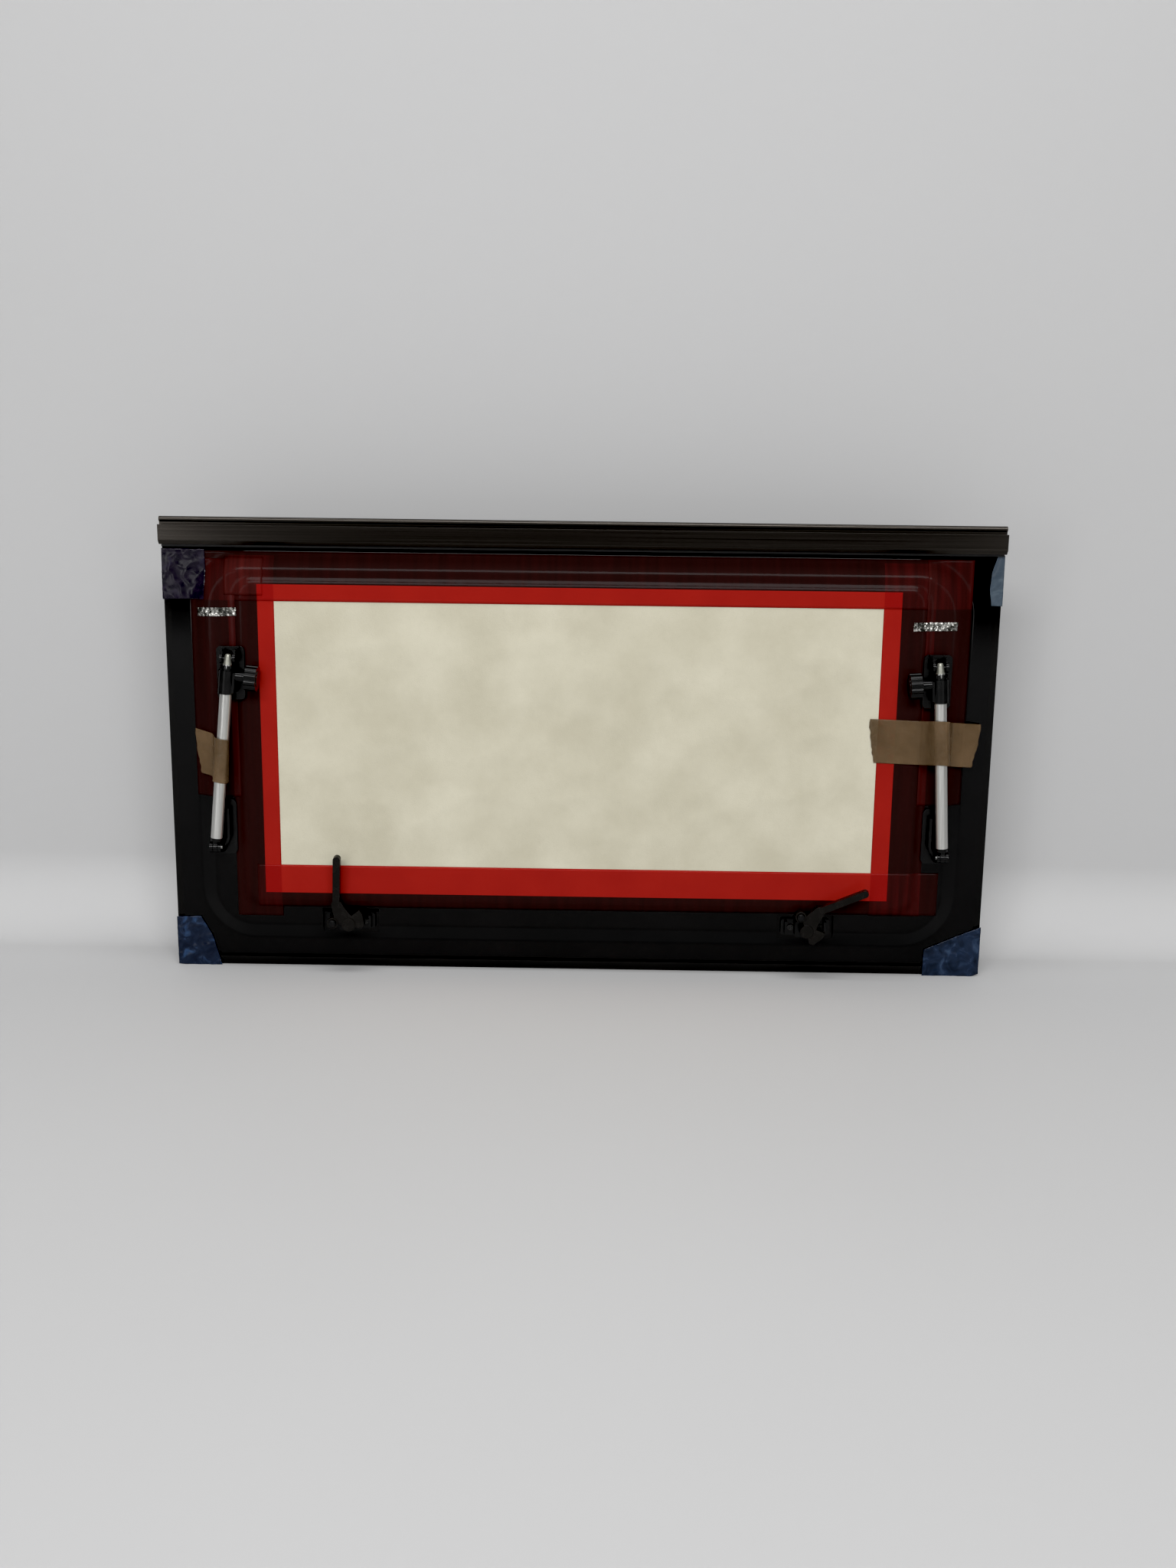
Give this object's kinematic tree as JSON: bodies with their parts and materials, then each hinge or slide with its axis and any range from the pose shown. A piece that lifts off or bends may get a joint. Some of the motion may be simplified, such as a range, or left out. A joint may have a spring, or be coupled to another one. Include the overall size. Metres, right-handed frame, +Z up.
{
  "type": "caravan window sash with stays and latches",
  "caption": "Top-hung double-glazed acrylic window sash with a hinge rail, telescopic clamp stays, turn-lever latches and taped-on masking paper.",
  "frame": {"origin": "axis of the hinge bead, at the middle of the rail", "axes": "X along the hinge rail to the right as seen from the room, +Z up the sash, -Y towards the room"},
  "size_m": [0.9, 0.0515, 0.5],
  "materials": {
    "smoked_acrylic": "gloss smoked acrylic",
    "black_acrylic": "gloss formed acrylic with black border",
    "bond_black": "black adhesive",
    "rail_aluminium": "dark satin anodised",
    "gasket_rubber": "matt",
    "paper": "plain masking paper",
    "red_film": "translucent film",
    "foil": "dull foil",
    "blue_tape": "translucent blue film tape",
    "black_plastic": "satin moulded",
    "steel": "plain",
    "tube_aluminium": "satin drawn",
    "brass": "plain",
    "pack_tape": "translucent brown film tape",
    "rod_aluminium": "satin drawn",
    "rod_tip_zinc": "dull cast",
    "screw_black": "black plated",
    "lever_plastic": "satin moulded"
  },
  "bodies": {
    "sash": {"outer_pane": "smoked_acrylic", "inner_pane": "black_acrylic", "bond_seam": "bond_black", "hinge_rail": "rail_aluminium", "rail_gasket": "gasket_rubber", "masking_paper": "paper", "film_top": "red_film", "film_bottom": "red_film", "film_left_inner": "red_film", "film_left_outer": "red_film", "film_right_inner": "red_film", "film_right_outer": "red_film", "film_patch": "red_film", "foil_labels": "foil", "blue_tape_top_left": "blue_tape", "blue_tape_top_right": "blue_tape", "blue_tape_bottom_left": "blue_tape", "blue_tape_bottom_right": "blue_tape", "left_stay_base": "black_plastic", "left_stay_pin": "steel", "left_latch_base": "black_plastic", "left_latch_screws": "screw_black", "right_stay_base": "black_plastic", "right_stay_pin": "steel", "right_latch_base": "black_plastic", "right_latch_screws": "screw_black"},
    "left_stay": {"left_tube_eye": "black_plastic", "left_tube": "tube_aluminium", "left_clamp_housing": "black_plastic", "left_clamp_shoe": "brass", "left_pack_tape": "pack_tape"},
    "left_stay_rod": {"left_rod": "rod_aluminium", "left_rod_tip": "rod_tip_zinc"},
    "left_stay_bracket": {"left_frame_bracket": "black_plastic", "left_bracket_pin": "steel"},
    "left_clamp_knob": {"left_knob": "black_plastic", "left_knob_spindle": "steel"},
    "left_latch": {"left_latch_spindle": "steel", "left_latch_lever": "lever_plastic", "left_latch_spring": "steel"},
    "left_lock_button": {"left_latch_button": "lever_plastic"},
    "right_stay": {"right_tube_eye": "black_plastic", "right_tube": "tube_aluminium", "right_clamp_housing": "black_plastic", "right_clamp_shoe": "brass", "right_pack_tape": "pack_tape"},
    "right_stay_rod": {"right_rod": "rod_aluminium", "right_rod_tip": "rod_tip_zinc"},
    "right_stay_bracket": {"right_frame_bracket": "black_plastic", "right_bracket_pin": "steel"},
    "right_clamp_knob": {"right_knob": "black_plastic", "right_knob_spindle": "steel"},
    "right_latch": {"right_latch_spindle": "steel", "right_latch_lever": "lever_plastic", "right_latch_spring": "steel"},
    "right_lock_button": {"right_latch_button": "lever_plastic"}
  },
  "joints": [
    {"name": "left_stay_swing", "type": "hinge", "parent": "sash", "child": "left_stay", "pos_m": [-0.396, -0.026, -0.353], "axis": [1, 0, 0], "range_deg": [0, 90]},
    {"name": "left_rod_slide", "type": "slide", "parent": "left_stay", "child": "left_stay_rod", "axis": [0.0976, 0, 0.9952], "range_m": [0, 0.15]},
    {"name": "left_bracket_tilt", "type": "hinge", "parent": "left_stay_rod", "child": "left_stay_bracket", "pos_m": [-0.37561, -0.026, -0.145], "axis": [1, 0, 0], "range_deg": [0, 90]},
    {"name": "left_knob_turn", "type": "hinge", "parent": "left_stay", "child": "left_clamp_knob", "pos_m": [-0.35722, -0.026, -0.16549], "axis": [0.9952, 0, -0.0976], "range_deg": [0, 360]},
    {"name": "left_latch_turn", "type": "hinge", "parent": "sash", "child": "left_latch", "pos_m": [-0.253, -0.014, -0.44], "axis": [0, -1, 0], "range_deg": [-90, 0]},
    {"name": "left_button_press", "type": "slide", "parent": "left_latch", "child": "left_lock_button", "axis": [0, 1, 0], "range_m": [0, 0.002], "stiffness_N_per_m": 400, "deforming": ["left_latch_spring"]},
    {"name": "right_stay_swing", "type": "hinge", "parent": "sash", "child": "right_stay", "pos_m": [0.396, -0.026, -0.353], "axis": [1, 0, 0], "range_deg": [0, 90]},
    {"name": "right_rod_slide", "type": "slide", "parent": "right_stay", "child": "right_stay_rod", "axis": [-0.0663, 0, 0.9978], "range_m": [0, 0.15]},
    {"name": "right_bracket_tilt", "type": "hinge", "parent": "right_stay_rod", "child": "right_stay_bracket", "pos_m": [0.38215, -0.026, -0.14446], "axis": [1, 0, 0], "range_deg": [0, 90]},
    {"name": "right_knob_turn", "type": "hinge", "parent": "right_stay", "child": "right_clamp_knob", "pos_m": [0.36313, -0.026, -0.16436], "axis": [-0.9978, 0, -0.0663], "range_deg": [0, 360]},
    {"name": "right_latch_turn", "type": "hinge", "parent": "sash", "child": "right_latch", "pos_m": [0.253, -0.014, -0.44], "axis": [0, -1, 0], "range_deg": [-28.5, 61.5]},
    {"name": "right_button_press", "type": "slide", "parent": "right_latch", "child": "right_lock_button", "axis": [0, 1, 0], "range_m": [0, 0.002], "stiffness_N_per_m": 400, "deforming": ["right_latch_spring"]}
  ],
  "couplings": [
    {"joint": "left_bracket_tilt", "follows": "left_stay_swing", "ratio": 1},
    {"joint": "right_bracket_tilt", "follows": "right_stay_swing", "ratio": 1}
  ]
}
